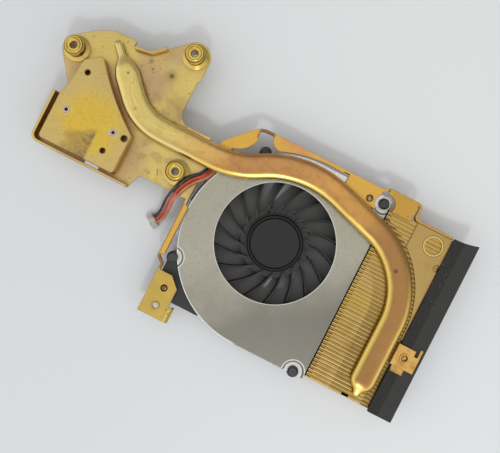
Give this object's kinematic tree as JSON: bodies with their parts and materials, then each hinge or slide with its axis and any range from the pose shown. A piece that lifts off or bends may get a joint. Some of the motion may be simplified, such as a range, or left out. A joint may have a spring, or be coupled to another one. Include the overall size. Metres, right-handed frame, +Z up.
{
  "type": "laptop cooling fan heatsink",
  "caption": "Flat blower fan with a steel cover, a bent heat pipe over a folded fin stack, and a stamped brass plate with contact block and screw bushes, for cooling a laptop.",
  "frame": {"origin": "on the fan's axis at the flat underside of the fan housing", "axes": "+X from the contact block towards the exhaust fins, +Z up out of the fan's inlet"},
  "size_m": [0.1473, 0.0848, 0.0135],
  "materials": {
    "brass_sheet": "satin stamped sheet with stains",
    "copper": "drawn copper, lightly tarnished",
    "fin_brass": "thin folded sheet",
    "steel_cover": "brushed",
    "bush_steel": "turned and plated",
    "black_plastic": "moulded, semi gloss",
    "foam": "soft foam with a smooth outer band",
    "inner_steel": "plain",
    "magnet": "dark bonded ferrite",
    "bearing": "sintered",
    "board": "coated laminate",
    "white_plastic": "moulded",
    "red_wire": "smooth insulation",
    "black_wire": "smooth insulation",
    "orange_wire": "smooth insulation"
  },
  "bodies": {
    "frame": {"mounting_plate": "brass_sheet", "contact_block": "copper", "block_pins": "bush_steel", "screw_bush_1": "bush_steel", "screw_bush_2": "bush_steel", "screw_bush_3": "bush_steel", "heat_pipe": "copper", "fin_stack": "fin_brass", "fin_top_plate": "fin_brass", "exhaust_gasket": "foam", "outlet_clip": "brass_sheet", "fan_housing": "black_plastic", "fan_cover": "steel_cover", "bearing_sleeve": "bearing", "thrust_pad": "white_plastic", "stator_core": "inner_steel", "stator_coils": "copper", "motor_board": "board", "fan_screws": "inner_steel", "wire_red": "red_wire", "wire_black": "black_wire", "wire_orange": "orange_wire", "wire_connector": "white_plastic"},
    "rotor": {"impeller": "black_plastic", "rotor_yoke": "inner_steel", "rotor_magnet": "magnet", "fan_shaft": "inner_steel"}
  },
  "joints": [
    {"name": "impeller_spin", "type": "hinge", "parent": "frame", "child": "rotor", "pos_m": [0, 0, 0.005], "axis": [0, 0, 1], "continuous": true}
  ]
}
